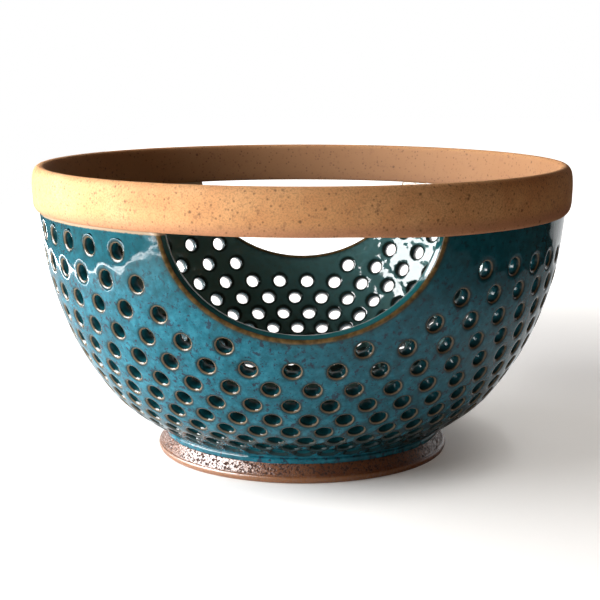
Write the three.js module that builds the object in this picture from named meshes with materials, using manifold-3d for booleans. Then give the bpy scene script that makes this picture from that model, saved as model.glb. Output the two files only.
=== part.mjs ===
// A stoneware colander: a thrown bowl with a pierced, glazed wall, a bare clay band round its rim and a bare foot.
// Millimetres, +Z up, foot on z = 0. Its two half-moon grips face -Y and +Y, and the band bridges each of them.
import * as THREE from "three";
import { mergeVertices } from "three/addons/utils/BufferGeometryUtils.js";
import Module from "manifold-3d";

const wasm = await Module();
wasm.setup();

// Rim band
const TOTAL_HEIGHT = 135.3;
const RIM_RADIUS = 125;
const BAND_HEIGHT = 19;
const BAND_THICKNESS = 9.5;
const BAND_TOP_THICKNESS = 7.5;
const BAND_ROUND = 2.5;
const BAND_OVERHANG = 2.8;

// Bowl wall, measured on its outer face
const WALL_THICKNESS = 6;
const WAIST_RADIUS = 61.5;
// How the wall swells from the waist up to the band: share of the height, share of the gain in radius
const WALL_SWELL = [[0.16, 0.4], [0.33, 0.64], [0.5, 0.8], [0.735, 0.935]];

// Foot ring and floor
const FOOT_HEIGHT = 8;
const FOOT_RADIUS = 69.2;
const FOOT_EDGE_HEIGHT = 2.9;
const FOOT_FLARE = 1.2;
const FOOT_UNDERCUT = 0.8;
const FOOT_LAND = 7;
const FOOT_TOP_WIDTH = 6.5;
const SEAT_GAP = 0.3;

// Drain holes
const HOLE_DIAMETER = 7;
const HOLE_SIDES = 6;
const HOLES_PER_ROW = 42;
const FIRST_ROW_DROP = 14;
const ROW_PITCH = 11.95;
const ROW_PITCH_LOSS = 0.5;
const ROW_WEB = 1.5;
const LAST_ROW_MARGIN = 14;
const FLOOR_PITCH = 14;
const FLOOR_MARGIN = 12;

// The holes were set out by eye: toward the rim the rows lean to one side, spread round the front and tilt
const ROW_LEAN = THREE.MathUtils.degToRad(4.9);
const ROW_SPREAD = THREE.MathUtils.degToRad(2);
const ROW_TILT_HEIGHT = 7.5;

// Half-moon grips, each a half ellipse when seen from the front
const GRIP_HALF_WIDTH = 57;
const GRIP_DEPTH = 43;
const GRIP_RISE = 5;
const GRIP_WEB = 8.5;
const GRIP_SEGMENTS = 40;

// Facets round a turned ring
const RING_SEGMENTS = 48;

const BAND_BOTTOM = TOTAL_HEIGHT - BAND_HEIGHT;
const WALL_TOP_RADIUS = RIM_RADIUS - BAND_OVERHANG;
const COLUMN_STEP = (2 * Math.PI) / HOLES_PER_ROW;

const GLAZE = { roughness: 0.18, metalness: 0 };
const CLAY = { roughness: 0.85, metalness: 0 };

const wallOutline = new THREE.SplineCurve([[0, 0], ...WALL_SWELL, [1, 1]].map(
  ([rise, gain]) => new THREE.Vector2(
    THREE.MathUtils.lerp(WAIST_RADIUS, WALL_TOP_RADIUS, gain),
    THREE.MathUtils.lerp(FOOT_HEIGHT, BAND_BOTTOM, rise),
  ),
));
const WALL_LENGTH = wallOutline.getLength();

function named(name, geometry, color, finish) {
  const mesh = new THREE.Mesh(geometry, new THREE.MeshStandardMaterial({ color, ...finish }));
  mesh.name = name;
  return mesh;
}

// Turns a profile of radii and heights about the Z axis, with its first facet edge on the -Y side.
function turned(points, segments) {
  return new THREE.LatheGeometry(points, segments).rotateX(Math.PI / 2);
}

function solidOf(geometry) {
  const bare = geometry.clone();
  bare.deleteAttribute("normal");
  bare.deleteAttribute("uv");
  const welded = mergeVertices(bare);
  return new wasm.Manifold(new wasm.Mesh({
    numProp: 3,
    vertProperties: new Float32Array(welded.attributes.position.array),
    triVerts: new Uint32Array(welded.index.array),
  }));
}

function geometryOf(solid) {
  const { vertProperties, triVerts } = solid.getMesh();
  const geometry = new THREE.BufferGeometry();
  geometry.setAttribute("position", new THREE.BufferAttribute(vertProperties, 3));
  geometry.setIndex(new THREE.BufferAttribute(triVerts, 1));
  return geometry;
}

// A point of the wall: angle from -Y toward +X, arc length down from the band, depth in from the outer face.
function wallPoint(angle, drop, depth) {
  const along = THREE.MathUtils.clamp(1 - drop / WALL_LENGTH, 0, 1);
  const { x: outerRadius, y: outerHeight } = wallOutline.getPointAt(along);
  const upward = wallOutline.getTangentAt(along);
  const radius = outerRadius - upward.y * depth;
  const height = Math.min(outerHeight + upward.x * depth, BAND_BOTTOM);
  return new THREE.Vector3(radius * Math.sin(angle), -radius * Math.cos(angle), height);
}

// Arc lengths down from the band: the wall's top edge, each row of holes, then the wall's bottom edge.
function rowDrops() {
  const drops = [0];
  let pitch = ROW_PITCH;
  for (let drop = FIRST_ROW_DROP; drop < WALL_LENGTH - LAST_ROW_MARGIN; drop += pitch) {
    drops.push(drop);
    pitch = Math.max(pitch - ROW_PITCH_LOSS, HOLE_DIAMETER + ROW_WEB);
  }
  drops.push(WALL_LENGTH);
  return drops;
}

function nearGrip({ x, z }) {
  const across = Math.abs(x) / (GRIP_HALF_WIDTH + GRIP_WEB);
  const below = (BAND_BOTTOM + GRIP_RISE - z) / (GRIP_RISE + GRIP_DEPTH + GRIP_WEB);
  return Math.hypot(across, below) < 1;
}

// One site of the pattern: the corners of its hole, or one plain point on an edge of the wall or near a grip.
function siteCorners(drops, row, column) {
  const onEdge = row === 0 || row === drops.length - 1;
  const share = 1 - drops[row] / WALL_LENGTH;
  const turn = (column + (row % 2) / 2) * COLUMN_STEP;
  const spread = Math.sin(turn) + Math.sin(2 * turn) + Math.sin(3 * turn);
  const angle = turn + share * (ROW_LEAN + ROW_SPREAD * spread);
  const drop = drops[row] + (onEdge ? 0 : ROW_TILT_HEIGHT * share ** 2 * Math.sin(angle));
  const centre = wallPoint(angle, drop, 0);
  if (onEdge || nearGrip(centre)) {
    return [{ angle, drop }];
  }
  const reach = HOLE_DIAMETER / 2;
  const radius = Math.hypot(centre.x, centre.y);
  return Array.from({ length: HOLE_SIDES }, (_, side) => {
    const around = (side * 2 * Math.PI) / HOLE_SIDES;
    return { angle: angle + (reach * Math.cos(around)) / radius, drop: drop + reach * Math.sin(around) };
  });
}

// The pierced wall is a staggered lattice of sites. Each patch between three sites is skinned on both faces.
function piercedWall() {
  const drops = rowDrops();
  const positions = [];
  const faces = [];

  const sites = drops.map((_, row) => Array.from({ length: HOLES_PER_ROW }, (_, column) => {
    const first = positions.length / 6;
    const corners = siteCorners(drops, row, column);
    for (const { angle, drop } of corners) {
      positions.push(...wallPoint(angle, drop, 0), ...wallPoint(angle, drop, WALL_THICKNESS));
    }
    return { first, count: corners.length };
  }));

  const outer = (corner) => 2 * corner;
  const inner = (corner) => 2 * corner + 1;

  // The corner of a site that looks toward a neighbour. Its six neighbours count clockwise from the right.
  function corner(row, column, neighbour) {
    const { first, count } = sites[row][(column + HOLES_PER_ROW) % HOLES_PER_ROW];
    return first + (Math.round((neighbour * count) / 6) % count);
  }

  // Joins the outer face to the inner face along one edge of a hole or of the wall.
  function strip(from, to) {
    faces.push(outer(from), inner(from), outer(to), outer(to), inner(from), inner(to));
  }

  function patch(loop) {
    const ring = loop.filter((here, i) => here !== loop[(i + 1) % loop.length]);
    for (let i = 1; i + 1 < ring.length; i += 1) {
      faces.push(outer(ring[0]), outer(ring[i]), outer(ring[i + 1]));
      faces.push(inner(ring[0]), inner(ring[i + 1]), inner(ring[i]));
    }
  }

  sites.forEach((line, row) => line.forEach(({ first, count }, column) => {
    for (let side = 0; count > 1 && side < count; side += 1) {
      strip(first + side, first + ((side + 1) % count));
    }
    if (row === 0) {
      strip(corner(row, column + 1, 0), corner(row, column, 0));
    }
    if (row === drops.length - 1) {
      strip(corner(row, column, 0), corner(row, column + 1, 0));
      return;
    }
    const right = column + (row % 2);
    patch([
      corner(row, column, 1), corner(row, column, 2),
      corner(row + 1, right - 1, 5), corner(row + 1, right - 1, 0),
      corner(row + 1, right, 3), corner(row + 1, right, 4),
    ]);
    patch([
      corner(row, column, 0), corner(row, column, 1),
      corner(row + 1, right, 4), corner(row + 1, right, 5),
      corner(row, column + 1, 2), corner(row, column + 1, 3),
    ]);
  }));

  const geometry = new THREE.BufferGeometry();
  geometry.setAttribute("position", new THREE.Float32BufferAttribute(positions, 3));
  geometry.setIndex(faces);
  return geometry;
}

// An elliptical cone that points at the bowl's axis, so that the cut runs square through the wall.
function gripCutter(turn) {
  const cornerReach = Math.sqrt(WALL_TOP_RADIUS ** 2 - GRIP_HALF_WIDTH ** 2);
  const sillReach = wallOutline.getPointAt(1 - GRIP_DEPTH / WALL_LENGTH).x;
  const outerEnd = RIM_RADIUS + WALL_THICKNESS;
  const innerEnd = cornerReach / 2;
  return new THREE.CylinderGeometry(outerEnd, innerEnd, outerEnd - innerEnd, GRIP_SEGMENTS)
    .scale(GRIP_HALF_WIDTH / cornerReach, 1, (GRIP_RISE + GRIP_DEPTH) / sillReach)
    .translate(0, (outerEnd + innerEnd) / 2, BAND_BOTTOM + GRIP_RISE)
    .rotateZ(turn);
}

function bowlWall() {
  const wall = solidOf(piercedWall())
    .subtract(solidOf(gripCutter(0)))
    .subtract(solidOf(gripCutter(Math.PI)));
  return named("bowl_wall", geometryOf(wall), 0x3f8ea3, GLAZE);
}

// The band sits on the wall's flat top edge and stands out past it.
function rimBand() {
  const roundOutside = RIM_RADIUS - BAND_ROUND;
  const roundInside = RIM_RADIUS - BAND_TOP_THICKNESS + BAND_ROUND;
  const roundTop = TOTAL_HEIGHT - BAND_ROUND;
  const profile = new THREE.Path()
    .moveTo(RIM_RADIUS - BAND_THICKNESS, BAND_BOTTOM)
    .lineTo(roundOutside, BAND_BOTTOM)
    .absarc(roundOutside, BAND_BOTTOM + BAND_ROUND, BAND_ROUND, -Math.PI / 2, 0)
    .absarc(roundOutside, roundTop, BAND_ROUND, 0, Math.PI / 2)
    .absarc(roundInside, roundTop, BAND_ROUND, Math.PI / 2, Math.PI)
    .closePath();
  return named("rim_band", turned(profile.getPoints(1), RING_SEGMENTS), 0xb98d66, CLAY);
}

// The foot flares from the waist to a thin edge, and is hollowed out behind the land that it stands on.
function footRing() {
  const landOutside = FOOT_RADIUS - FOOT_UNDERCUT;
  const flareRadius = (FOOT_RADIUS + WAIST_RADIUS) / 2;
  const flareHeight = (FOOT_EDGE_HEIGHT + FOOT_HEIGHT) / 2 - FOOT_FLARE;
  const profile = new THREE.Path()
    .moveTo(landOutside - FOOT_LAND, 0)
    .lineTo(landOutside, 0)
    .lineTo(FOOT_RADIUS, FOOT_EDGE_HEIGHT)
    .quadraticCurveTo(flareRadius, flareHeight, WAIST_RADIUS, FOOT_HEIGHT)
    .lineTo(WAIST_RADIUS - FOOT_TOP_WIDTH, FOOT_HEIGHT)
    .closePath();
  return named("foot_ring", turned(profile.getPoints(3), RING_SEGMENTS), 0x94603f, CLAY);
}

// A bit for one floor hole, in a ring of holes round the middle one.
function floorDrill(ring, turn, depth) {
  return new THREE.CylinderGeometry(HOLE_DIAMETER / 2, HOLE_DIAMETER / 2, 2 * depth, HOLE_SIDES)
    .rotateX(Math.PI / 2)
    .translate(ring * FLOOR_PITCH, 0, FOOT_HEIGHT)
    .rotateZ(turn);
}

// The floor is a shallow cone that stands on the foot, with the wall seated round its edge.
function bowlFloor() {
  const low = wallPoint(0, WALL_LENGTH, 0);
  const high = wallPoint(0, WALL_LENGTH, WALL_THICKNESS);
  const facetInset = Math.cos(COLUMN_STEP / 2);
  const disc = turned([
    new THREE.Vector2(0, low.z),
    new THREE.Vector2(-low.y * facetInset - SEAT_GAP, low.z),
    new THREE.Vector2(-high.y * facetInset - SEAT_GAP, high.z),
    new THREE.Vector2(0, high.z),
  ], HOLES_PER_ROW);
  let floor = solidOf(disc);
  for (let ring = 0; ring * FLOOR_PITCH < WAIST_RADIUS - FLOOR_MARGIN; ring += 1) {
    const count = Math.max(1, 6 * ring);
    for (let hole = 0; hole < count; hole += 1) {
      const drill = floorDrill(ring, (hole * 2 * Math.PI) / count, 2 * WALL_THICKNESS);
      floor = floor.subtract(solidOf(drill));
    }
  }
  return named("bowl_floor", geometryOf(floor), 0x2f7f8e, GLAZE);
}

const colander = new THREE.Group();
colander.name = "colander";
colander.add(rimBand(), bowlWall(), bowlFloor(), footRing());
export default colander;
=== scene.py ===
# %% [markdown]
# # A stoneware colander
# The real colander is one pot. A potter throws a bowl, turns a foot on it, cuts two half-moon grips under a
# thick rim, pierces the wall with a hole cutter, and dips the wall in a turquoise glaze, leaving the rim
# band and the foot bare. This lesson gives the packed CAD frame its looks: a finely pierced glazed wall, a
# floor, a clay band and a clay foot, all in the frame's own place and size.

# %% Load the packed frame
import math

import bmesh
import bpy
import numpy as np
from mathutils import Matrix, Vector, kdtree, noise


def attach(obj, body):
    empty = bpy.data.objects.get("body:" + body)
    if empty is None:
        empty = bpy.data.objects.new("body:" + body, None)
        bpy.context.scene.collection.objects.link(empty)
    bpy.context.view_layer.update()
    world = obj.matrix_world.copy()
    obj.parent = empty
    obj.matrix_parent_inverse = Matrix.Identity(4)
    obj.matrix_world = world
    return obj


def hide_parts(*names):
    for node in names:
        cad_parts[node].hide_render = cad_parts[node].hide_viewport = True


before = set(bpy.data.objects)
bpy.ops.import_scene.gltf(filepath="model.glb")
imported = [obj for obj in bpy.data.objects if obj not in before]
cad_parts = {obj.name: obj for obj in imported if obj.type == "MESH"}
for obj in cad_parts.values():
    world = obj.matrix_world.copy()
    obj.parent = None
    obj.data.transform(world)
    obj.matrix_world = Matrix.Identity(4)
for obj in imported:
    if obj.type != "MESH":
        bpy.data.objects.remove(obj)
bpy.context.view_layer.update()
MM = 0.001

# %% [markdown]
# ## The wall's outline
# A thrown wall is a curve turned about an axis, so one curve holds its whole shape. It swells quickly from
# the waist above the foot and is almost upright under the band. Every point of the wall then has a simple
# address: the angle round the bowl, the drop along the curve from the band, and the depth in from the outer
# face. A potter thinks in the same way, stepping rows off with dividers down the wall. All these sizes are
# in mm.

# %% Wall outline
WALL_POINTS = [(61.5, 8.0), (85.8, 25.3), (100.3, 43.7), (110.1, 62.2), (118.3, 87.6), (122.2, 116.3)]
BAND_BOTTOM = WALL_POINTS[-1][1]
WALL_THICKNESS = 6.0


def smooth_curve(points, steps=40, closed=False):
    """Points of a smooth curve that passes through the given points."""
    p = np.array(points, float)
    ends = np.vstack([p[-1:], p, p[:2]]) if closed else np.vstack([p[:1], p, p[-1:]])
    t = np.linspace(0, 1, steps, endpoint=False)[:, None]
    runs = []
    for a, b, c, d in zip(ends, ends[1:], ends[2:], ends[3:]):
        start, stop = (c - a) / 2, (d - b) / 2
        cubic, square = 2 * b - 2 * c + start + stop, 3 * c - 3 * b - 2 * start - stop
        runs.append(cubic * t**3 + square * t**2 + start * t + b)
    return np.vstack(runs if closed else runs + [p[-1:]])


curve = smooth_curve(WALL_POINTS)[::-1]
curve_drop = np.concatenate([[0], np.cumsum(np.hypot(*np.diff(curve, axis=0).T))])
wall_length = curve_drop[-1]
upward = -np.gradient(curve, curve_drop, axis=0)


def outline_at(drop):
    """Radius, height and upward direction of the wall's curve."""
    return [np.interp(drop, curve_drop, values) for values in (*curve.T, *upward.T)]


def wall_xyz(angle, drop, depth=0.0):
    """Points in metres: angle from the front toward +X, drop from the band, depth in from the outside."""
    radius, height, along_r, along_z = outline_at(drop)
    radius = radius - along_z * depth
    height = np.minimum(height + along_r * depth, BAND_BOTTOM)
    return np.stack([radius * np.sin(angle), -radius * np.cos(angle), height], axis=-1) * MM


def wall_place(point):
    """The angle and the drop of a point on the outer face."""
    x, y, z = np.asarray(point).T
    return np.arctan2(x, -y), np.interp(z / MM, curve[::-1, 1], curve_drop[::-1])


print("wall length", round(wall_length, 1), "mm")

# %% [markdown]
# ## Where the half-moons and the holes stand
# Seen from the front, each grip is half an ellipse that hangs from the band. The holes stand in rows,
# staggered like bricks. They were set out by eye, so toward the rim the rows lean to one side, spread round
# the front and tilt, and the pitch tightens toward the foot. In the lowest row, right above the foot, the
# glaze has run thick and closed the holes into dents. No hole stands close to a grip. Two places that are
# within 0.01 mm count as touching.

# %% Half-moon grips
GRIP_HALF_WIDTH, GRIP_HEIGHT, GRIP_CENTRE = 57.0, 48.0, 121.3
TOUCH, SLIDES = 0.01, 8


def grip_field(angle, drop):
    """Distance in mm from a half-moon's edge along the wall, and the way from it: across, down."""
    radius, height, along_r, along_z = outline_at(drop)
    x, below = radius * np.sin(angle), GRIP_CENTRE - height
    level = np.hypot(x / GRIP_HALF_WIDTH, below / GRIP_HEIGHT)
    slope_x, slope_z = x / GRIP_HALF_WIDTH**2 / level, -below / GRIP_HEIGHT**2 / level
    across = slope_x * np.cos(angle)
    down = -slope_x * along_r * np.sin(angle) - slope_z * along_z
    steep = np.hypot(across, down)
    return (level - 1) / steep, across / steep, down / steep


def move_to_grip_distance(vert, wanted):
    """Slides a vertex on the wall until it is at the wanted distance from the half-moon's edge."""
    angle, drop = wall_place(vert.co)
    on_top_edge = drop < TOUCH
    for _ in range(SLIDES):
        distance, across, down = grip_field(angle, drop)
        step, radius = wanted - distance, outline_at(drop)[0]
        if on_top_edge:
            angle += step / across / radius
        else:
            angle, drop = angle + step * across / radius, max(drop + step * down, 0.0)
    vert.co = wall_xyz(angle, drop)


print("the half-moons reach down to", round(GRIP_CENTRE - GRIP_HEIGHT, 1), "mm above the table")

# %% Hole pattern
HOLE_RADIUS = 3.35
COLUMNS, ROWS = 84, 12
FIRST_ROW, ROW_PITCH, PITCH_LOSS = 14, 11.95, 0.5
PLAIN_DROPS = (0.0, 6.5, 123.0, 126.5, wall_length)
LEAN, SPREAD, TILT = 4.9, 2, 7.5
hole_rows = [(FIRST_ROW + ROW_PITCH * k - PITCH_LOSS * k * (k - 1) / 2, (k + 1) % 2) for k in range(ROWS)]
closed_drop = hole_rows[-1][0] - HOLE_RADIUS
rows = sorted(hole_rows + [(drop, None) for drop in PLAIN_DROPS], key=lambda row: row[0])


def drifted(drop, half_column):
    """The angle and the drop at which a lattice point really stands."""
    share = 1 - drop / wall_length
    turn = half_column * 2 * math.pi / COLUMNS
    waves = math.sin(turn) + math.sin(2 * turn) + math.sin(3 * turn)
    angle = turn + share * math.radians(LEAN + SPREAD * waves)
    tilt = TILT * min(1, drop / FIRST_ROW) * share**2 * math.sin(angle)
    return angle, drop + tilt


print("rows of holes:", ROWS, "with drops in mm:", [round(drop, 1) for drop, _ in hole_rows])

# %% [markdown]
# ## Throw the wall
# The outline is spun round the axis as a lattice with one corner per hole, and one plain corner between
# each two holes. Bevelling only the hole corners opens a ring at each hole, so the whole pattern comes from
# one spin and one bevel. The rings are then rounded on the wall's own curve and inset a few times, to leave
# loops for the soft edge of each hole.

# %% Spin the lattice and move it to the hand-set places
GRIP_CLEARANCE = 8.2
GLAZE_LAYERS = ("bore_edge", "lip_edge", "inside")


def spun(shape, steps):
    """Spins an outline round the bowl's axis into a closed ring, with its faces turned outward."""
    bmesh.ops.spin(shape, geom=shape.verts[:] + shape.edges[:], cent=(0, 0, 0), axis=(0, 0, 1),
                   angle=2 * math.pi, steps=steps, use_merge=True)
    bmesh.ops.recalc_face_normals(shape, faces=shape.faces)
    return shape


wall = bmesh.new()
bore_layer, lip_layer, inside_layer = (wall.verts.layers.float.new(name) for name in GLAZE_LAYERS)
profile = [wall.verts.new(wall_xyz(0, drop)) for drop, _ in rows]
for a, b in zip(profile, profile[1:]):
    wall.edges.new((a, b))
spun(wall, COLUMNS)
row_heights = np.array([v.co.z for v in profile])
holes = []
for v in wall.verts:
    drop, odd = rows[int(np.abs(row_heights - v.co.z).argmin())]
    half_column = round(math.atan2(v.co.x, -v.co.y) / (2 * math.pi / COLUMNS))
    angle, drop = drifted(drop, half_column)
    v.co = wall_xyz(angle, drop)
    to_grip = grip_field(angle, drop)[0]
    if odd is not None and half_column % 2 == odd and to_grip > GRIP_CLEARANCE:
        holes.append({"vert": v, "angle": angle, "drop": drop, "centre": v.co.copy(), "to_grip": to_grip})
print("holes and dents:", len(holes))

# %% Bevel the hole corners into rings
CORNERS = 16
RING_START, RING_REACH, RING_TO_GRIP = 2.5, 6.2, 3.4
REACH_SHARE = 0.485
HOLE_WOBBLE = (0.05, 300)


def wobble(place, size, scale):
    """A soft random number for a place, up to a size, with waves that are shorter at a larger scale."""
    return size * noise.noise(place * scale)


hole_tree = kdtree.KDTree(len(holes))
for i, hole in enumerate(holes):
    hole_tree.insert(hole["centre"], i)
hole_tree.balance()
for hole in holes:
    spacing = hole_tree.find_n(hole["centre"], 2)[1][2] / MM
    hole["reach"] = min(RING_REACH, REACH_SHARE * spacing, hole["to_grip"] - RING_TO_GRIP)
    hole["radius"] = HOLE_RADIUS * (1 + wobble(hole["centre"], *HOLE_WOBBLE))
    hole["closed"] = hole["drop"] > closed_drop
rings = bmesh.ops.bevel(wall, geom=[hole["vert"] for hole in holes], offset=RING_START * MM,
                        offset_type="OFFSET", segments=1, profile=0.5, affect="VERTICES",
                        clamp_overlap=False, material=-1)["faces"]
bmesh.ops.subdivide_edges(wall, edges=list({e for f in rings for e in f.edges}), cuts=CORNERS // 4 - 1)
hole_of = {f: holes[hole_tree.find(f.calc_center_median())[1]] for f in rings}
print("rings", len(rings), "corners", {len(f.verts) for f in rings})

# %% Round the rings and inset them toward the bore
RING_STEPS = [1.0, 0.55, 0.28, 0.09, 0.0]
INSET = 0.2


def round_ring(face, hole, step):
    """Puts a ring's corners on a circle round the hole, on the wall, in their own order."""
    size = hole["radius"] + step * (hole["reach"] - hole["radius"])
    right = Vector((math.cos(hole["angle"]), math.sin(hole["angle"]), 0))
    down = right.cross(face.normal)
    spokes = [v.co - hole["centre"] for v in face.verts]
    around = [math.atan2(spoke.dot(down), spoke.dot(right)) for spoke in spokes]
    first = min(range(CORNERS), key=lambda i: abs(around[i]))
    way = 1 if around[(first + 1) % CORNERS] > around[first] else -1
    turns = way * np.arange(CORNERS) * 2 * math.pi / CORNERS
    wide = outline_at(hole["drop"])[0]
    places = wall_xyz(hole["angle"] + size * np.cos(turns) / wide, hole["drop"] + size * np.sin(turns))
    for i, place in enumerate(places):
        face.verts[(first + i) % CORNERS].co = place


for step in RING_STEPS:
    if step < 1:
        bmesh.ops.inset_individual(wall, faces=rings, thickness=INSET * MM)
    for face in rings:
        round_ring(face, hole_of[face], step)
print("faces with rings:", len(wall.faces))

# %% [markdown]
# ## Cut the half-moon grips
# The potter cuts each grip with a wire and rounds its edge with a wet finger. Here the plain faces near the
# cut are first made finer, the faces are split along a line just outside the cut, and everything inside
# that line is removed. The open edge is then extruded row by row toward the true cut, which leaves clean
# loops for the rounded lip.

# %% Make the wall finer near the grips, then split it along the lip's outer line
LIP_ROWS = [(2.2, 0.0), (1.35, 0.1), (0.65, 0.4), (0.22, 0.95), (0.03, 1.8), (-0.05, 3.0)]
LIP_WIDTH = LIP_ROWS[0][0]
COARSE_PERIMETER, NEAR_LIP, SNAP = 28, 14, 0.6


def from_lip(vert):
    """Distance in mm of a vertex from the lip's outer line, below 0 inside it."""
    return float(grip_field(*wall_place(vert.co))[0]) - LIP_WIDTH


def is_coarse(face):
    """Whether a face is a plain, large one near the lip."""
    plain = len(face.verts) == 4 and face not in hole_of and face.calc_perimeter() > COARSE_PERIMETER * MM
    return plain and min(abs(from_lip(v)) for v in face.verts) < NEAR_LIP


coarse = [f for f in wall.faces if is_coarse(f)]
bmesh.ops.subdivide_edges(wall, edges=list({e for f in coarse for e in f.edges}), cuts=3, use_grid_fill=True)
for v in wall.verts:
    v.co = wall_xyz(*wall_place(v.co))
side = {v: from_lip(v) for v in wall.verts}
for v, distance in side.items():
    if abs(distance) < SNAP:
        move_to_grip_distance(v, LIP_WIDTH)
        side[v] = 0.0
crossing = [e for e in wall.edges if side[e.verts[0]] * side[e.verts[1]] < 0]
for edge in crossing:
    inner, outer = sorted(edge.verts, key=side.get)
    share = side[inner] / (side[inner] - side[outer])
    made = bmesh.utils.edge_split(edge, inner, share)[1]
    made.co = wall_xyz(*wall_place(made.co))
    move_to_grip_distance(made, LIP_WIDTH)
    side[made] = 0.0
print("edges cut:", len(crossing))

# %% Remove the half-moons
LIP_EDGE_LENGTH, LIP_HALVINGS, LOWEST_LIP = 2.4, 3, 100
for face in [f for f in wall.faces if min(side[v] for v in f.verts) < 0 < max(side[v] for v in f.verts)]:
    ends = [loop.vert for loop in face.loops if side[loop.vert] == 0
            and min(side[loop.link_loop_next.vert], side[loop.link_loop_prev.vert]) < 0]
    bmesh.utils.face_split(face, *ends)
bmesh.ops.delete(wall, geom=[f for f in wall.faces if min(side[v] for v in f.verts) < 0], context="FACES")


def lip_edges():
    """The open edges along the half-moons, without the wall's own top and bottom edges."""
    open_edges = [e for e in wall.edges if e.is_boundary]
    return [e for e in open_edges if any(TOUCH < wall_place(v.co)[1] < LOWEST_LIP for v in e.verts)]


for _ in range(LIP_HALVINGS):
    long_edges = [e for e in lip_edges() if e.calc_length() > LIP_EDGE_LENGTH * MM]
    bmesh.ops.subdivide_edges(wall, edges=long_edges, cuts=1)
lip = lip_edges()
for v in {v for e in lip for v in e.verts}:
    move_to_grip_distance(v, LIP_WIDTH)
print("lip edges:", len(lip), "longest", round(max(e.calc_length() for e in lip) / MM, 2), "mm")


# %% Extrude the lip toward the cut, and open the rings that aren't dents
def extruded(shape, edges):
    """Extrudes open edges once, and gives the new vertices and the new edges between them."""
    made = bmesh.ops.extrude_edge_only(shape, edges=edges)["geom"]
    new = {v for v in made if isinstance(v, bmesh.types.BMVert)}
    return new, [e for e in made if isinstance(e, bmesh.types.BMEdge) and new.issuperset(e.verts)]


for distance, _ in LIP_ROWS[1:]:
    new, lip = extruded(wall, lip)
    for v in new:
        move_to_grip_distance(v, distance)
dent_rings = [f for f in rings if hole_of[f]["closed"]]
hole_rings = [f for f in rings if not hole_of[f]["closed"]]
bmesh.ops.poke(wall, faces=dent_rings)
bmesh.ops.delete(wall, geom=hole_rings, context="FACES_ONLY")
print("faces of the outer skin:", len(wall.faces), "holes:", len(hole_rings), "dents:", len(dent_rings))

# %% [markdown]
# ## Give the wall its thickness
# Glaze rounds every edge, so the skin dips softly toward each bore and over each lip. The outer skin is
# given a depth at each corner, from how far the corner is from its hole or lip. A copy with the depths
# turned round becomes the inner skin, and the two meet and are welded halfway through each bore and lip.
# Two attributes keep how far a corner is outside the edge of a hole or lip, less how deep it is inside, so
# that the glaze can break to brown there later. A third is 0 on the outer skin, 1 on the inner one, and a
# half where they are welded.

# %% Depth of the outer skin
BORE_DEPTHS = [3.0, 0.6, 0.24, 0.07, 0.0]
DENT_DEPTH, CUT_DEPTH = 1.7, 2.7
MID_WALL = WALL_THICKNESS / 2
skin = wall.verts[:]
angle, drop = wall_place([v.co for v in skin])
lip_gap = grip_field(angle, drop)[0]
lip_depth = np.interp(lip_gap, *zip(*reversed(LIP_ROWS)))
bore_gap, bore_depth = np.zeros((2, len(skin)))
for i, v in enumerate(skin):
    _, nearest, distance = hole_tree.find(v.co)
    hole = holes[nearest]
    bore_gap[i] = distance / MM - hole["radius"]
    if hole["closed"]:
        bore_depth[i] = DENT_DEPTH * max(0, 1 - (distance / MM / hole["reach"])**2)
    else:
        step = bore_gap[i] / (hole["reach"] - hole["radius"])
        bore_depth[i] = np.interp(step, RING_STEPS[::-1], BORE_DEPTHS)
through = np.array([v.is_boundary and TOUCH < d < wall_length - TOUCH for v, d in zip(skin, drop)])
cut_at_top = (drop < TOUCH) & (lip_depth > CUT_DEPTH)
depth = np.where(through | cut_at_top, MID_WALL, np.maximum(lip_depth, bore_depth))
print("corners on the outer skin:", len(skin), "welded:", int((depth == MID_WALL).sum()))

# %% Copy the skin to the inside and weld the two
FAR = 3.0
SWAY = (0.12, 25)


def turned_copy(shape):
    """Copies a skin with its faces turned round, and gives each vertex its twin."""
    copied = bmesh.ops.duplicate(shape, geom=shape.verts[:] + shape.edges[:] + shape.faces[:])
    bmesh.ops.reverse_faces(shape, faces=[f for f in copied["geom"] if isinstance(f, bmesh.types.BMFace)])
    return copied["vert_map"]


for v, bore, edge in zip(skin, bore_gap - bore_depth, lip_gap - lip_depth):
    v[bore_layer], v[lip_layer] = min(bore, FAR), min(edge, FAR)
sway = np.where(depth == MID_WALL, 0.0, [wobble(v.co, *SWAY) for v in skin])
twin = turned_copy(wall)
outer = wall_xyz(angle, drop, depth + sway)
inner = wall_xyz(angle, drop, WALL_THICKNESS - depth - sway)
for v, out_place, in_place in zip(skin, outer, inner):
    v.co, twin[v].co = out_place, in_place
    twin[v][inside_layer] = 1.0
welded = [w for v, d in zip(skin, depth) if d == MID_WALL for w in (v, twin[v])]
for v in welded:
    v[inside_layer] = 0.5
bmesh.ops.remove_doubles(wall, verts=welded, dist=TOUCH * MM)
print("open edges left at top and bottom:", sum(e.is_boundary for e in wall.edges))

# %% [markdown]
# ## Close the wall and let the glaze run onto the foot
# Under the band the wall ends in a flat edge. At the waist the wet glaze bridges the corner between wall
# and foot and stops in a thick, slightly wavy line, so the lowest edge is extruded in a few rings that
# follow such a run of glaze.

# %% Close the top, run the glaze down and bridge to the inside
GLAZE_RUN = [(65.6, 10.6, 0.0), (65.6, 9.4, 0.1), (65.45, 8.2, 0.45), (65.0, 7.65, 0.45)]
RUN_WAVES = 7
INNER_WAIST = 60


def ring_to(verts, radius, height, wave):
    """Moves a ring of vertices to a radius and a height, with a soft wave."""
    for v in verts:
        turn = math.atan2(v.co.x, -v.co.y)
        rise = wobble(Vector((math.cos(turn), math.sin(turn), 0)), wave, RUN_WAVES)
        v.co = Vector((radius * math.sin(turn), -radius * math.cos(turn), height + rise)) * MM


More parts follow.
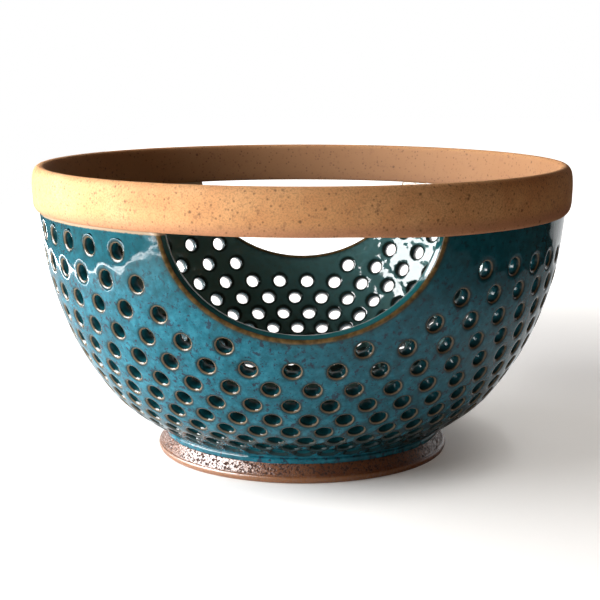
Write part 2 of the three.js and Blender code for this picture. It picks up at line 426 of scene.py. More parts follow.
open_edges = [e for e in wall.edges if e.is_boundary]
top_edges = [e for e in open_edges if e.verts[0].co.z > BAND_BOTTOM / 2 * MM]
waist_edges = [e for e in open_edges if e not in top_edges]
run = [e for e in waist_edges if e.verts[0].co.xy.length > INNER_WAIST * MM]
inner_edges = [e for e in waist_edges if e not in run]
bmesh.ops.edgeloop_fill(wall, edges=top_edges)
ring_to({v for e in run for v in e.verts}, *GLAZE_RUN[0])
for ring in GLAZE_RUN[1:]:
    new, run = extruded(wall, run)
    ring_to(new, *ring)
bmesh.ops.bridge_loops(wall, edges=run + inner_edges)
print("open edges left:", sum(e.is_boundary for e in wall.edges))


# %% Make a piece from a finished shape
def make_piece(shape, name, node, sharp=()):
    """Turns a bmesh into a smooth-shaded object that stands for a CAD node."""
    for face in shape.faces:
        face.smooth = True
    for edge in sharp:
        edge.smooth = False
    mesh = bpy.data.meshes.new(name)
    shape.to_mesh(mesh)
    shape.free()
    piece = bpy.data.objects.new(name, mesh)
    bpy.context.collection.objects.link(piece)
    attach(piece, "root")
    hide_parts(node)
    print(name, "triangles:", sum(len(p.vertices) - 2 for p in mesh.polygons))
    return piece


glazed_wall = make_piece(wall, "glazed_wall", "bowl_wall", sharp=top_edges + inner_edges)

# %% [markdown]
# ## The floor of the bowl
# The floor drains too: one hole in the middle and three rings of holes round it. A ring is drawn for each
# hole with the rim of the floor round them all, one fill makes the plate between them, and each ring is
# then extruded into a soft, rounded bore, as on the wall.

# %% Draw the rings and fill the plate
FLOOR_TOP, FLOOR_THICKNESS, FLOOR_RADIUS = 12.9, 4.9, 57.0
FLOOR_RINGS, FLOOR_PITCH = 3, 14
FLOOR_STEPS = [(5.4, 0.0), (4.5, 0.14), (3.95, 0.42), (3.6, 0.9), (HOLE_RADIUS, FLOOR_THICKNESS / 2)]
centres = [(0.0, 0.0)]
for ring in range(1, FLOOR_RINGS + 1):
    turns = [k * math.pi / (3 * ring) for k in range(6 * ring)]
    out = FLOOR_PITCH * ring
    centres += [(out * math.cos(turn), out * math.sin(turn)) for turn in turns]
floor = bmesh.new()
bore_layer, lip_layer, inside_layer = (floor.verts.layers.float.new(name) for name in GLAZE_LAYERS)


def floor_circle(x, y, radius, segments):
    """Draws a circle on the level of the floor's top."""
    place = Matrix.Translation(Vector((x, y, FLOOR_TOP)) * MM)
    return bmesh.ops.create_circle(floor, segments=segments, radius=radius * MM, matrix=place)["verts"]


bores = [floor_circle(x, y, FLOOR_STEPS[0][0], CORNERS) for x, y in centres]
rim = floor_circle(0, 0, FLOOR_RADIUS, COLUMNS)
for v in floor.verts:
    v[bore_layer] = FAR
rim_edges = [e for e in floor.edges if e.verts[0] in rim]
bmesh.ops.triangle_fill(floor, edges=floor.edges[:], use_beauty=True, normal=(0, 0, 1))
in_bores = [f for f in floor.faces if any(set(f.verts) <= set(ring) for ring in bores)]
bmesh.ops.delete(floor, geom=in_bores, context="FACES")
bmesh.ops.recalc_face_normals(floor, faces=floor.faces)
if floor.faces[0].normal.z < 0:
    bmesh.ops.reverse_faces(floor, faces=floor.faces)
print("floor holes:", len(bores), "plate faces:", len(floor.faces))

# %% Sink the bores, fold the plate over to its underside and cove it up to the wall
COVE = [(57.9, 13.05), (58.9, 13.6)]
BORES_WITHIN = 50
for (x, y), ring in zip(centres, bores):
    edges = list({e for v in ring for e in v.link_edges if e.is_boundary})
    for size, sunk in FLOOR_STEPS[1:]:
        new, edges = extruded(floor, edges)
        for v in new:
            out = (v.co.xy - Vector((x, y)) * MM).normalized() * size * MM
            v.co = Vector((x * MM + out.x, y * MM + out.y, (FLOOR_TOP - sunk) * MM))
            v[bore_layer] = size - HOLE_RADIUS - sunk
upper = floor.verts[:]
for v in upper:
    v[inside_layer], v[lip_layer] = 1.0, FAR
twin = turned_copy(floor)
for v in upper:
    twin[v].co.z = (2 * FLOOR_TOP - FLOOR_THICKNESS) * MM - v.co.z
    twin[v][inside_layer] = 0.0
mid_bores = [v for v in floor.verts if v.is_boundary and v.co.xy.length < BORES_WITHIN * MM]
bmesh.ops.remove_doubles(floor, verts=mid_bores, dist=TOUCH * MM)
cove = rim_edges
for radius, height in COVE:
    new, cove = extruded(floor, cove)
    ring_to(new, radius, height, 0.0)
under = [e for e in floor.edges if e.is_boundary and e not in cove]
bmesh.ops.bridge_loops(floor, edges=cove + under)
print("open edges on the floor:", sum(e.is_boundary for e in floor.edges))
glazed_floor = make_piece(floor, "glazed_floor", "bowl_floor", sharp=cove + under)

# %% [markdown]
# ## The clay band
# The rim is left thick, which stiffens the bowl where the grips are cut, and it is wiped free of glaze. Its
# section is a soft upright bar, drawn as a closed curve and spun. The ring then gets the slight unevenness
# of hands on wet clay: it waves in and out, its top is not quite level, and its lower edge sags over the
# wall, most of all at the front right.

# %% Spin the band
BAND_SECTION = [(115.9, 117.4), (117.4, 116.35), (121.4, 116.3), (123.2, 116.2), (124.5, 118.3),
                (124.85, 123.0), (124.8, 128.5), (124.2, 132.6), (122.6, 134.8), (120.6, 135.15),
                (118.7, 133.9), (117.4, 129.0)]
CURVE_STEPS, BAND_STEPS = 5, 180


def outline(points):
    """A closed outline in the YZ plane, from points with a radius and a height in mm."""
    shape = bmesh.new()
    corners = [shape.verts.new(Vector((0, -radius, height)) * MM) for radius, height in points]
    for a, b in zip(corners, corners[1:] + corners[:1]):
        shape.edges.new((a, b))
    return shape, corners


section, _ = outline(smooth_curve(BAND_SECTION, steps=CURVE_STEPS, closed=True))
band = spun(section, BAND_STEPS)
print("faces of the band:", len(band.faces))

# %% Make the band uneven
SAG_MIDDLE, SAG_TURNS, SAG_DROPS = 47, [20, 38, 90], [1.9, 0.65, 0.4]
OVER_WALL, SAG_HEIGHTS, TOP_HEIGHTS = 121.9, (121, 117), (125, 133)
HAND_WAVE, FINGER_WAVE, TOP_WAVE = (0.06, 22), (0.03, 120), (0.04, 14)


def sag(turn):
    """How far the band's lower edge hangs over the wall, in mm, by the angle from the front in degrees."""
    return np.interp(abs(turn - SAG_MIDDLE), SAG_TURNS, SAG_DROPS)


def fade(value, start, stop):
    """A share that grows from 0 at one value to 1 at another."""
    return min(max((value - start) / (stop - start), 0), 1)


def inward(v):
    """The level direction from a vertex toward the bowl's axis."""
    return Vector((-v.co.x, -v.co.y, 0)).normalized()


for v in band.verts:
    radius, height, to_axis = v.co.xy.length / MM, v.co.z / MM, inward(v)
    if radius > OVER_WALL:
        v.co.z -= MM * sag(math.degrees(math.atan2(v.co.x, -v.co.y))) * fade(height, *SAG_HEIGHTS)
    v.co += to_axis * MM * (HAND_WAVE[0] + wobble(v.co, *HAND_WAVE) + wobble(v.co, *FINGER_WAVE))
    v.co.z -= MM * (TOP_WAVE[0] + wobble(v.co, *TOP_WAVE)) * fade(height, *TOP_HEIGHTS)
clay_band = make_piece(band, "clay_band", "rim_band")

# %% [markdown]
# ## The clay foot
# The foot is turned with a loop tool when the clay is firm. Its side slopes steeply out to a thin edge,
# with a fine turned line above that edge. It stands on a narrow land and is hollow behind it. Each corner
# of the section has a radius, a height and the size of its bevel, which is cut before the section is spun.

# %% Spin the foot
FOOT_SECTION = [(61.6, 0.0, 0.55), (68.3, 0.0, 0.33), (69.1, 1.2, 0.66), (69.1, 2.5, 0.55), (68.6, 2.95, 0.0),
                (68.2, 2.95, 0.0), (67.9, 3.3, 0.33), (65.5, 7.75, 0.0), (65.4, 7.95, 0.0), (55.3, 7.95, 0.0)]
FOOT_STEPS = 144
FOOT_SIDE, FOOT_SOLE, FOOT_WAVE = 62.5, 0.2, (0.1, 40)
foot, corners = outline([corner[:2] for corner in FOOT_SECTION])
for corner, (_, _, size) in zip(corners, FOOT_SECTION):
    if size:
        bmesh.ops.bevel(foot, geom=[corner], offset=size * MM, offset_type="OFFSET", segments=6, profile=0.5,
                        affect="VERTICES", clamp_overlap=True, material=-1)
spun(foot, FOOT_STEPS)
for v in foot.verts:
    if v.co.xy.length > FOOT_SIDE * MM and v.co.z > FOOT_SOLE * MM:
        v.co += inward(v) * MM * (FOOT_WAVE[0] + wobble(v.co, *FOOT_WAVE))
clay_foot = make_piece(foot, "clay_foot", "foot_ring")

# %% [markdown]
# ## Short names for shader nodes
# Every finish here is built from the same few nodes: noise for clouds and grain, cells for specks, ramps
# that turn a number into a colour, and mixes that lay one colour over another. Two small classes keep these
# recipes short: one for any node tree, and one for a material. All patterns read Object coordinates, so
# they sit still on the clay and have true sizes: a scale of 500 is a grain of about 2 mm. Places are in
# metres there, and the edge attributes are in mm. A range says where a pattern starts and where it is full,
# and may have two more numbers for its strength at both.


# %% Recipe of any node tree
class Recipe:
    """A node tree and the nodes that its recipe uses."""

    def __init__(self, tree):
        self.tree = tree

    def fill(self, socket, value):
        """Links a node's output to a socket, or writes a plain value into it."""
        if isinstance(value, bpy.types.NodeSocket):
            self.tree.links.new(value, socket)
        else:
            socket.default_value = value

    def node(self, kind, inputs=(), **settings):
        made = self.tree.nodes.new(kind)
        for key, value in settings.items():
            setattr(made, key, value)
        for key, value in dict(inputs).items():
            self.fill(made.inputs[key], value)
        return made

    def calc(self, operation, first, second):
        return self.node("ShaderNodeMath", {0: first, 1: second}, operation=operation).outputs["Value"]

    def plus(self, first, second):
        return self.calc("ADD", first, second)

    def minus(self, first, second):
        return self.calc("SUBTRACT", first, second)

    def times(self, first, second):
        return self.calc("MULTIPLY", first, second)

    def larger(self, first, second):
        return self.calc("MAXIMUM", first, second)

    def ray_kinds(self):
        """The kinds of ray, and 1 for a ray that the eye sees straight, mirrored or through glass."""
        seen = self.node("ShaderNodeLightPath").outputs
        mirrored = self.larger(seen["Is Glossy Ray"], seen["Is Transmission Ray"])
        return seen, self.larger(seen["Is Camera Ray"], mirrored)


print("recipe words:", ", ".join(word for word in vars(Recipe) if word[0] != "_"))


# %% Recipe of a material
class Finish(Recipe):
    """A material whose patterns read the place on the clay."""

    def __init__(self, name):
        self.material = bpy.data.materials.new(name)
        self.material.use_nodes = True
        super().__init__(self.material.node_tree)
        self.shader = self.tree.nodes["Principled BSDF"]
        self.place = self.node("ShaderNodeTexCoord").outputs["Object"]
        self.along = self.node("ShaderNodeSeparateXYZ", {"Vector": self.place}).outputs

    def from_axis(self):
        """Distance of a place from the bowl's axis."""
        level = self.node("ShaderNodeVectorMath", {0: self.place, 1: (1, 1, 0)}, operation="MULTIPLY")
        length = self.node("ShaderNodeVectorMath", {0: level.outputs["Vector"]}, operation="LENGTH")
        return length.outputs["Value"]

    def attribute(self, name):
        return self.node("ShaderNodeAttribute", attribute_name=name).outputs["Fac"]

    def noise(self, scale, detail=2.0, rough=0.5, seed=0.0):
        inputs = {"Vector": self.place, "W": seed, "Scale": scale, "Detail": detail, "Roughness": rough}
        return self.node("ShaderNodeTexNoise", inputs, noise_dimensions="4D").outputs["Fac"]

    def cells(self, scale, seed):
        inputs = {"Vector": self.place, "W": seed, "Scale": scale}
        made = self.node("ShaderNodeTexVoronoi", inputs, voronoi_dimensions="4D")
        return made.outputs["Distance"], made.outputs["Color"]

    def span(self, value, low, high, to_low=0.0, to_high=1.0):
        """Turns the range from low to high softly into another range."""
        inputs = {"Value": value, "From Min": low, "From Max": high, "To Min": to_low, "To Max": to_high}
        return self.node("ShaderNodeMapRange", inputs, interpolation_type="SMOOTHSTEP").outputs["Result"]

    def ramp(self, value, stops):
        made = self.node("ShaderNodeValToRGB", {"Fac": value})
        while len(made.color_ramp.elements) < len(stops):
            made.color_ramp.elements.new(1.0)
        for element, (position, color) in zip(made.color_ramp.elements, stops):
            element.position, element.color = position, (*color, 1.0)
        return made.outputs["Color"]

    def lay(self, amount, below, above, share=1.0):
        """Lays a share of one colour over another, by an amount that varies over the clay."""
        made = self.node("ShaderNodeMix", data_type="RGBA")
        self.fill(made.inputs[0], amount if share == 1.0 else self.times(amount, share))
        for socket, color in ((made.inputs[6], below), (made.inputs[7], above)):
            self.fill(socket, (*color, 1.0) if isinstance(color, tuple) else color)
        return made.outputs[2]

    def bump(self, height, strength, distance_mm):
        inputs = {"Height": height, "Strength": strength, "Distance": distance_mm * MM}
        self.fill(self.shader.inputs["Normal"], self.node("ShaderNodeBump", inputs).outputs["Normal"])

    def put(self, **inputs):
        for key, value in inputs.items():
            self.fill(self.shader.inputs[key.replace("_", " ")], value)


print("words of a finish:", ", ".join(word for word in vars(Finish) if word[0] != "_"))

# %% [markdown]
# ## The turquoise glaze
# A glossy glaze is never one colour. It clouds from light to deep turquoise and carries purple-brown specks
# where iron from the clay bleeds through. It is painted darker toward the band, as painted shade under the
# rim's overhang, and paler inside the bowl, as painted fill light there. It breaks to tan where it runs thin
# over an edge, round each hole and along the half-moons, and just beside each thin edge it pools and darkens.
# The attributes kept on the wall say how far a place is from such an edge.

# %% Glaze clouds and specks
GLAZE_TONES = [(0.36, (0.003, 0.057, 0.078)), (0.5, (0.006, 0.1, 0.14)), (0.64, (0.016, 0.162, 0.222))]
IRON_PURPLE, IRON_BLACK = (0.015, 0.018, 0.034), (0.008, 0.012, 0.022)
BAND_SHADE_TEAL, INSIDE_FILL_LIGHT = (0.003, 0.045, 0.053), (0.1, 0.21, 0.2)
BAND_SHADE_HEIGHTS = (0.08, 0.108)
glaze = Finish("turquoise_glaze")
bore, lip_edge, inside = (glaze.attribute(name) for name in GLAZE_LAYERS)
cloud = glaze.noise(60, detail=3)
mottle = glaze.noise(300, detail=5, rough=0.62, seed=3)
colour = glaze.ramp(glaze.plus(glaze.times(cloud, 0.35), glaze.times(mottle, 0.65)), GLAZE_TONES)
iron = glaze.span(glaze.noise(340, detail=4, rough=0.65, seed=8), 0.545, 0.615)
colour = glaze.lay(iron, colour, IRON_PURPLE, share=0.8)
dots = glaze.span(glaze.noise(950, detail=2, seed=5), 0.62, 0.7)
colour = glaze.lay(dots, colour, IRON_BLACK, share=0.7)
# painted shade: the glaze is laid darker teal near the band, where the rim's overhang shades it
colour = glaze.lay(glaze.span(glaze.along["Z"], *BAND_SHADE_HEIGHTS), colour, BAND_SHADE_TEAL, share=0.62)
# painted fill light: the inside skin is laid paler, standing in for light that the dim inside lacks
colour = glaze.lay(inside, colour, INSIDE_FILL_LIGHT, share=0.75)
print("nodes for the glaze's clouds:", len(glaze.tree.nodes))

# %% Glaze breaking at the holes
POOLED, BROKEN_TAN = (0.006, 0.02, 0.019), (0.128, 0.092, 0.054)
BORE_SHADE_TONES = [(0.0, (0.006, 0.07, 0.088)), (0.07, (0.004, 0.034, 0.043))]
BORE_POOL, DEEP_BORE = (2.3, 0.8), (-0.9, -1.8)
BREAKS_OUTSIDE, BREAKS_IN_BORE = (0.75, 0.38), (-0.65, -0.3)
ABOVE_WAIST, LESS_INSIDE = (0.016, 0.032), (0.0, 1.0, 1.0, 0.15)
waver = glaze.times(glaze.minus(glaze.noise(700, detail=2, seed=1), 0.5), 0.5)
bore_wavy = glaze.plus(bore, waver)
colour = glaze.lay(glaze.span(bore_wavy, *BORE_POOL), colour, POOLED, share=0.9)
broken = glaze.times(glaze.span(bore_wavy, *BREAKS_OUTSIDE), glaze.span(bore_wavy, *BREAKS_IN_BORE))
clear = glaze.times(glaze.span(glaze.along["Z"], *ABOVE_WAIST), glaze.span(inside, *LESS_INSIDE))
colour = glaze.lay(glaze.times(broken, clear), colour, BROKEN_TAN)
# painted shade in the bores: deep bores are laid dark teal, darker still toward the right, away from the
# window
bore_shade_tone = glaze.ramp(glaze.along["X"], BORE_SHADE_TONES)
colour = glaze.lay(glaze.span(bore_wavy, *DEEP_BORE), colour, bore_shade_tone)
print("nodes with the holes:", len(glaze.tree.nodes))

# %% Glaze breaking at the grips and under the band
LIP_POOLED, LIP_TEAL, BARE_LINE = (0.014, 0.03, 0.024), (0.008, 0.075, 0.082), (0.42, 0.3, 0.19)
OLIVE_TONES = [(0.35, (0.05, 0.032, 0.012)), (0.65, (0.14, 0.085, 0.03))]
LIP_POOL, DEEP_LIP = (2.9, 1.7), (-0.8, -1.6)
BREAKS_BESIDE_LIP, BREAKS_ON_LIP = (2.1, 1.2), (-1.0, -0.5)
UNDER_BAND, LINE_WAVER = (0.1140, 0.1147), 0.0015
lip_wavy = glaze.plus(lip_edge, waver)
colour = glaze.lay(glaze.span(lip_wavy, *LIP_POOL), colour, LIP_POOLED, share=0.85)
olive = glaze.ramp(glaze.noise(420, detail=2, seed=9), OLIVE_TONES)
broken = glaze.times(glaze.span(lip_wavy, *BREAKS_BESIDE_LIP), glaze.span(lip_wavy, *BREAKS_ON_LIP))
colour = glaze.lay(broken, colour, olive)
colour = glaze.lay(glaze.span(lip_wavy, *DEEP_LIP), colour, LIP_TEAL)
thin_top = glaze.plus(glaze.along["Z"], glaze.times(waver, LINE_WAVER))
colour = glaze.lay(glaze.span(thin_top, *UNDER_BAND), colour, BARE_LINE, share=0.85)
print("nodes with the grips:", len(glaze.tree.nodes))

# %% [markdown]
# ## The gloss of the glaze
# Outside, the glaze is smooth and mirrors the window. The inside face is uneven, which breaks a reflection
# up. The gloss of the holes is set by place to steer where glints show: it is lowered on the inner edges of
# the holes and in the bores low on the wall and at the lower right, which hides their glints, and raised in
# the bores at the back, so that they mirror more. A plain specular level is set first, and a linked one over
# it.

# %% Gloss and unevenness
GLOSS, DULLED_GLOSS, BORE_GLOSS, DULLED_ROUGH = 0.22, 0.04, 0.25, 0.2
HOLE_EDGE, PLAIN_FACE, IN_BORE, MID_BORE = (0.8, 0.0), (-0.3, 0.8), (-0.3, -0.9), (-0.7, -1.3)
AT_BACK, LOW_ON_WALL, LOWER_RIGHT = (0.02, 0.06), (0.062, 0.045), (0.004, -0.01)
MOTTLED_ROUGH, UNEVEN_INSIDE = (0.3, 0.7, 0.04, 0.09), (0.0, 1.0, 1.0, 8.0)
# gloss lowered on the inner edges of the holes to hide their glints, and raised in the bores at the back
glint_dulling = glaze.times(inside, glaze.span(bore, *HOLE_EDGE))
shiny_bores = glaze.times(glaze.span(glaze.along["Y"], *AT_BACK), glaze.span(bore, *IN_BORE))
glint_dulling = glaze.times(glint_dulling, glaze.minus(1.0, shiny_bores))
# gloss lowered by place, in bores low on the wall and at the lower right, to hide their glints
glint_dulling_lower_right = glaze.span(glaze.minus(glaze.along["Z"], glaze.along["X"]), *LOWER_RIGHT)
glint_dulling_by_place = glaze.larger(glaze.span(glaze.along["Z"], *LOW_ON_WALL), glint_dulling_lower_right)
glint_dulling = glaze.larger(glint_dulling, glaze.times(glint_dulling_by_place, glaze.span(bore, *MID_BORE)))
rough = glaze.plus(glaze.span(mottle, *MOTTLED_ROUGH), glaze.times(glint_dulling, DULLED_ROUGH))
glaze.put(Base_Color=colour, Roughness=rough, IOR=1.5, Specular_IOR_Level=GLOSS)
specular = glaze.plus(glaze.span(glint_dulling, 0.0, 1.0, GLOSS, DULLED_GLOSS), glaze.times(shiny_bores, BORE_GLOSS))
glaze.put(Specular_IOR_Level=specular)
inside_face = glaze.times(inside, glaze.span(bore, *PLAIN_FACE))
uneven = glaze.times(glaze.noise(160, detail=1, seed=2), glaze.span(inside_face, *UNEVEN_INSIDE))
glaze.bump(glaze.plus(uneven, glaze.times(mottle, 0.12)), strength=0.22, distance_mm=0.6)
for piece in (glazed_wall, glazed_floor):
    piece.data.materials.append(glaze.material)
print("glaze nodes:", len(glaze.tree.nodes))

# %% [markdown]
# ## The bare clay of the band
# Unglazed stoneware is matte and sandy. Fired iron grains leave dark specks of many sizes with soft smudges
# between them, the tan shifts to orange, and the lower edge blushes pink where glaze vapour touched it. The
# inner face of the band is painted browner, as painted shade inside the rim.
# Cells with a random colour choose where a speck stands, so that the specks are sparse and uneven.


# %% Speckled clay
def speckle(finish, scale, size, share, seed, soft=0.55):
    """Round specks in some of the cells: 1 on a speck, 0 elsewhere."""
    distance, chance = finish.cells(scale, seed)
    red = finish.node("ShaderNodeSeparateColor", {"Color": chance}).outputs["Red"]
    chosen = finish.calc("GREATER_THAN", red, 1 - share)
    return finish.times(finish.span(distance, size, size * soft), chosen)


CLAY_TONES = [(0.35, (0.59, 0.272, 0.104)), (0.5, (0.65, 0.33, 0.134)), (0.66, (0.66, 0.366, 0.165))]
PINK_BLUSH, SHADED_BROWN_INSIDE, DARK_SAND = (0.46, 0.205, 0.1), (0.3, 0.142, 0.064), (0.34, 0.175, 0.078)
SMUDGE, SMALL_SPECK, LARGE_SPECK = (0.26, 0.125, 0.06), (0.12, 0.06, 0.032), (0.085, 0.043, 0.024)
LOWER_EDGE, INNER_FACE_SHADE = (0.1222, 0.1162), (0.1205, 0.118)
clay = Finish("speckled_clay")
grain = clay.noise(1300, detail=3, rough=0.7, seed=4)
smudges = clay.noise(360, detail=3, rough=0.6, seed=11)
small = speckle(clay, scale=620, size=0.44, share=0.8, seed=1, soft=0.25)
large = speckle(clay, scale=300, size=0.3, share=0.4, seed=2, soft=0.25)
tan = clay.ramp(clay.noise(38, detail=3, rough=0.6), CLAY_TONES)
tan = clay.lay(clay.span(clay.along["Z"], *LOWER_EDGE), tan, PINK_BLUSH)
# painted shade: the band's inner face is laid browner, as shade inside the rim
tan = clay.lay(clay.span(clay.from_axis(), *INNER_FACE_SHADE), tan, SHADED_BROWN_INSIDE, share=0.85)
tan = clay.lay(clay.span(grain, 0.42, 0.7), tan, DARK_SAND, share=0.75)
tan = clay.lay(clay.span(smudges, 0.56, 0.7), tan, SMUDGE, share=0.5)
tan = clay.lay(small, tan, SMALL_SPECK, share=0.65)
tan = clay.lay(large, tan, LARGE_SPECK, share=0.75)
clay.put(Base_Color=tan, Roughness=clay.span(grain, 0.3, 0.7, 0.7, 0.9), Specular_IOR_Level=0.15)
clay.bump(clay.minus(grain, clay.times(large, 0.6)), strength=0.35, distance_mm=0.35)
clay_band.data.materials.append(clay.material)
print("clay nodes:", len(clay.tree.nodes))

# %% [markdown]
# ## The toasted clay of the foot
# The bare foot is toasted to a red-brown, paler on its thin edge. Its skin is tight enough to have a sheen,
# which pits break up, so the pits are dark, rough and sunk, and mirror almost nothing. They come from cells
# and from noise, and are fewer on the thin edge.

# %% Toasted clay
TOAST_TONES = [(0.35, (0.118, 0.038, 0.016)), (0.65, (0.186, 0.068, 0.028))]
DARK_GRAIN, PALE_EDGE, PIT_BROWN = (0.06, 0.025, 0.016), (0.24, 0.105, 0.048), (0.02, 0.012, 0.01)
THIN_EDGE, PITS_ABOVE_EDGE = (0.0035, 0.0022), (0.0028, 0.0038, 0.25, 1.0)
toasted = Finish("toasted_clay")
grain = toasted.noise(1300, detail=3, rough=0.7, seed=6)
sheen = toasted.noise(480, detail=4, rough=0.7, seed=2)
torn = toasted.span(toasted.noise(900, detail=3, rough=0.65, seed=7), 0.51, 0.57)
pits = toasted.larger(speckle(toasted, scale=560, size=0.46, share=0.8, seed=3), torn)
pits = toasted.times(pits, toasted.span(toasted.along["Z"], *PITS_ABOVE_EDGE))
brown = toasted.ramp(toasted.noise(55, detail=3), TOAST_TONES)
brown = toasted.lay(toasted.span(grain, 0.4, 0.7), brown, DARK_GRAIN, share=0.7)
brown = toasted.lay(toasted.span(toasted.along["Z"], *THIN_EDGE), brown, PALE_EDGE)
brown = toasted.lay(pits, brown, PIT_BROWN, share=0.8)
rough = toasted.plus(toasted.span(sheen, 0.4, 0.6, 0.1, 0.24), toasted.times(pits, 0.6))
toasted.put(Base_Color=brown, Roughness=rough, Specular_IOR_Level=toasted.span(pits, 0.0, 1.0, 0.4, 0.05))
toasted.bump(toasted.minus(toasted.plus(grain, sheen), pits), strength=0.45, distance_mm=0.3)
clay_foot.data.materials.append(toasted.material)
print("foot nodes:", len(toasted.tree.nodes))

# %% [markdown]
# ## The table
# The pot stands on a white table beside a large window on the left. The table really ends at the left,
# because the glaze mirrors that edge as a wavy white line. Its paint answers each kind of ray by itself.
# The camera sees it lifted to white, less so near the pot, under it and behind it on the right, where the
# shade lies. Mirrors see it dimmer on the left and close to the pot, and its right side is dark for all but
# the camera. Scattered light gets a glow from its sunny left side. The front and right of the table are an
# apron that only the camera sees. From here on, sizes are in metres.

# %% Lay the table
TABLE_CORNERS = [(-0.37, -0.5), (0.38, -0.5), (0.38, 0.35), (1.6, 0.35), (1.6, 3.0), (-0.37, 3.0)]
APRON_CORNERS = [(0.38, 0.35), (0.38, -0.5), (-0.37, -0.5), (-0.37, -1.6), (1.6, -1.6), (1.6, 0.35)]
TABLE_LEVEL = -0.0002
TABLE_WHITE, TABLE_DARK = (0.88, 0.88, 0.88), (0.03, 0.03, 0.03)


def matte(name, color, rough=0.9):
    """A plain paint."""
    finish = Finish(name)
    finish.put(Base_Color=(*color, 1.0), Roughness=rough)
    return finish


def stage_object(shape, name, finish):
    """Turns a bmesh into a painted object of the stage, which is no part of the pot."""
    mesh = bpy.data.meshes.new(name)
    shape.to_mesh(mesh)
    shape.free()
    made = bpy.data.objects.new(name, mesh)
    bpy.context.collection.objects.link(made)
    made.data.materials.append(finish.material)
    return made


def table_top(name, corners, finish):
    """A flat piece of table, from its corners as seen from above."""
    shape = bmesh.new()
    shape.faces.new([shape.verts.new((x, y, TABLE_LEVEL)) for x, y in corners])
    return stage_object(shape, name, finish)


paint = matte("table_paint", TABLE_WHITE, rough=0.6)
table = table_top("table", TABLE_CORNERS, paint)
apron = table_top("table_apron", APRON_CORNERS, paint)
apron.visible_diffuse = apron.visible_glossy = apron.visible_transmission = apron.visible_shadow = False
print("table corners:", len(table.data.vertices), "apron corners:", len(apron.data.vertices))

# %% Paint the table by kind of ray
TABLE_LIFT, UNDER_BOWL = (0.2, 0.7, 0.37, 1.0), (0.115, 0.07, 0.0, 0.27)
SHADE_RIGHT, SHADE_FROM, SHADE_TO = (0.06, 0.16), (0.03, 0.16), (0.55, 0.25, 0.0, 0.25)
MIRROR_LIFT, MIRROR_SIDE, MIRROR_DIM = (0.085, 0.17, 0.0, 0.5), (-0.15, 0.05, 0.1, 1.0), 0.4
DIM_LEFT, DIM_RIGHT, DIM_FRONT = (-0.05, -0.25, 0.0, 0.45), (0.12, 0.32), (0.5, 0.25)
TABLE_GLOW = (0.0, -0.3, 0.0, 2.9)
MIRROR_WHITE, CAMERA_WHITE = (0.9, 0.97, 1.0), (1.0, 0.97, 0.92)
seen, to_eye = paint.ray_kinds()
away, along = paint.from_axis(), paint.along
dim_right = paint.times(paint.span(along["X"], *DIM_RIGHT), paint.span(along["Y"], *DIM_FRONT))
dim_right = paint.times(dim_right, paint.minus(1.0, seen["Is Camera Ray"]))
dim_left = paint.times(paint.span(along["X"], *DIM_LEFT), seen["Is Glossy Ray"])
mirrored = paint.times(paint.span(away, *MIRROR_LIFT), paint.minus(to_eye, seen["Is Camera Ray"]))
mirrored = paint.times(mirrored, paint.span(along["X"], *MIRROR_SIDE))
mirrored = paint.times(mirrored, paint.minus(1.0, paint.times(dim_right, MIRROR_DIM)))
shown = paint.minus(paint.span(away, *TABLE_LIFT), paint.span(away, *UNDER_BOWL))
shade = paint.times(paint.span(along["X"], *SHADE_RIGHT), paint.span(along["Y"], *SHADE_FROM))
shown = paint.minus(shown, paint.times(shade, paint.span(along["Y"], *SHADE_TO)))
lift = paint.plus(paint.times(shown, seen["Is Camera Ray"]), mirrored)
glow = paint.times(paint.span(along["X"], *TABLE_GLOW), paint.minus(1.0, to_eye))
paint.put(Base_Color=paint.lay(paint.larger(dim_right, dim_left), TABLE_WHITE, TABLE_DARK),
          Emission_Color=paint.lay(seen["Is Camera Ray"], MIRROR_WHITE, CAMERA_WHITE),
          Emission_Strength=paint.plus(lift, glow))
print("table nodes:", len(paint.tree.nodes))

# %% [markdown]
# ## The dim room and the white world
# The room behind the camera and to the right is dim and warm, which is what keeps the glaze deep there. A
# curved screen, a ceiling and a dark ground stand in for it, all hidden from the camera. The world is white
# to the eye and in mirrors, and gives only a little light.

# %% Dim room
ROOM_RADIUS, ROOM_HEIGHT, SCREEN_FOOT = 1.7, 1.5, 0.02
SCREEN_START, SCREEN_TURN = math.radians(-55), math.radians(170)
GROUND_SIZE, GROUND_LEVEL = 5.0, -0.08
screen = bmesh.new()
x, y = ROOM_RADIUS * math.sin(SCREEN_START), -ROOM_RADIUS * math.cos(SCREEN_START)
screen.edges.new([screen.verts.new((x, y, z)) for z in (SCREEN_FOOT, ROOM_HEIGHT)])
bmesh.ops.spin(screen, geom=screen.verts[:] + screen.edges[:], cent=(0, 0, 0), axis=(0, 0, 1),
               angle=SCREEN_TURN, steps=24)
ceiling = bmesh.new()
bmesh.ops.create_circle(ceiling, cap_ends=True, segments=32, radius=ROOM_RADIUS,
                        matrix=Matrix.Translation((0, 0, ROOM_HEIGHT)))
ground = bmesh.new()
bmesh.ops.create_grid(ground, x_segments=1, y_segments=1, size=GROUND_SIZE,
                      matrix=Matrix.Translation((0, 0, GROUND_LEVEL)))
for name, shape, color in (("dim_room", screen, (0.19, 0.1, 0.05)),
                           ("dim_ceiling", ceiling, (0.13, 0.085, 0.055)),
                           ("dim_ground", ground, (0.05, 0.05, 0.05))):
    dim = stage_object(shape, name, matte(name + "_paint", color))
    dim.visible_camera = False
    print(name, "is hidden from the camera")

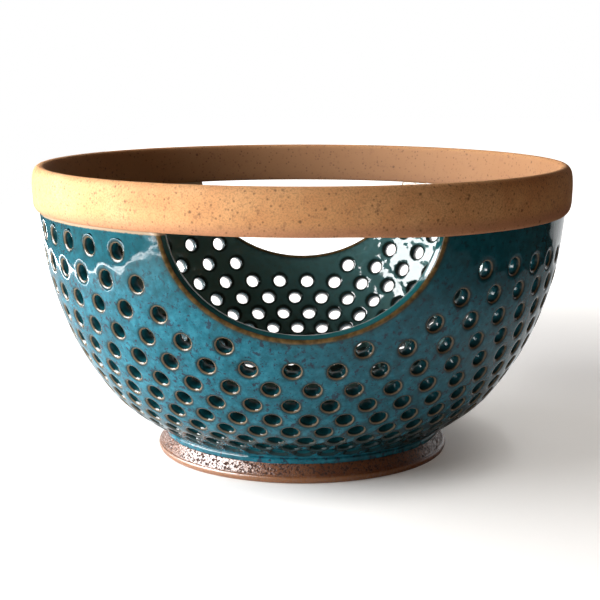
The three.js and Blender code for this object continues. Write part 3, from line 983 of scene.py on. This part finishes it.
# %% White world
WORLD_FILL = 0.1
world = bpy.data.worlds.new("white_room")
world.use_nodes = True
bpy.context.scene.world = world
sky = Recipe(world.node_tree)
_, to_eye = sky.ray_kinds()
strength = sky.node("ShaderNodeMapRange", {"Value": to_eye, "To Min": WORLD_FILL}).outputs["Result"]
background = sky.tree.nodes["Background"].inputs
sky.fill(background["Color"], (1, 1, 1, 1))
sky.fill(background["Strength"], strength)
print("world nodes:", len(sky.tree.nodes))

# %% [markdown]
# ## Lamps and camera
# The window is one large lamp. Two more lamps are seen only in the glaze: a brighter oval for the window's
# glints, and a thin strip along the table's left edge for the wavy line. The camera stands where the
# photograph was taken, fitted to the ellipses of the rim and the outline of the wall.


# %% Lamps
def lamp(name, place, aim, width, height, watts, shape="RECTANGLE", only_mirrored=False):
    """A flat lamp that faces a point, and that may be left out of scattered light."""
    light = bpy.data.lights.new(name, "AREA")
    light.shape, light.size, light.size_y, light.energy = shape, width, height, watts
    made = bpy.data.objects.new(name, light)
    made.location = place
    made.rotation_euler = (Vector(aim) - Vector(place)).to_track_quat("-Z", "Y").to_euler()
    bpy.context.collection.objects.link(made)
    made.visible_diffuse = not only_mirrored
    print(name, "watts:", watts)


BOWL_MIDDLE = (0, 0, 0.08)
lamp("window", (-1.15, -0.12, 0.46), BOWL_MIDDLE, width=1.6, height=0.9, watts=50)
lamp("window_glint", (-1.15, -0.25, 0.57), BOWL_MIDDLE, width=1.4, height=0.75, watts=92, shape="ELLIPSE",
     only_mirrored=True)
lamp("table_edge", (-0.365, 0.25, 0.002), (0, 0.25, 0.1), width=1.5, height=0.005, watts=0.65,
     only_mirrored=True)

# %% Camera
EYE_PLACE, EYE_TILT = (0, -0.65448, 0.18651), 10.152
camera = bpy.data.cameras.new("photo_camera")
camera.lens, camera.sensor_width, camera.shift_x = 83.7, 36.0, -0.00383
eye = bpy.data.objects.new("photo_camera", camera)
eye.location = EYE_PLACE
eye.rotation_euler = (math.radians(90 - EYE_TILT), 0, 0)
bpy.context.collection.objects.link(eye)
bpy.context.scene.camera = eye
bpy.context.scene.view_settings.view_transform = "Standard"
print("camera looks down by", EYE_TILT, "degrees")

# %% [markdown]
# ## The size of the pot
# The CAD frame sets how large the pot is, so the finished pieces have to stay inside its box.
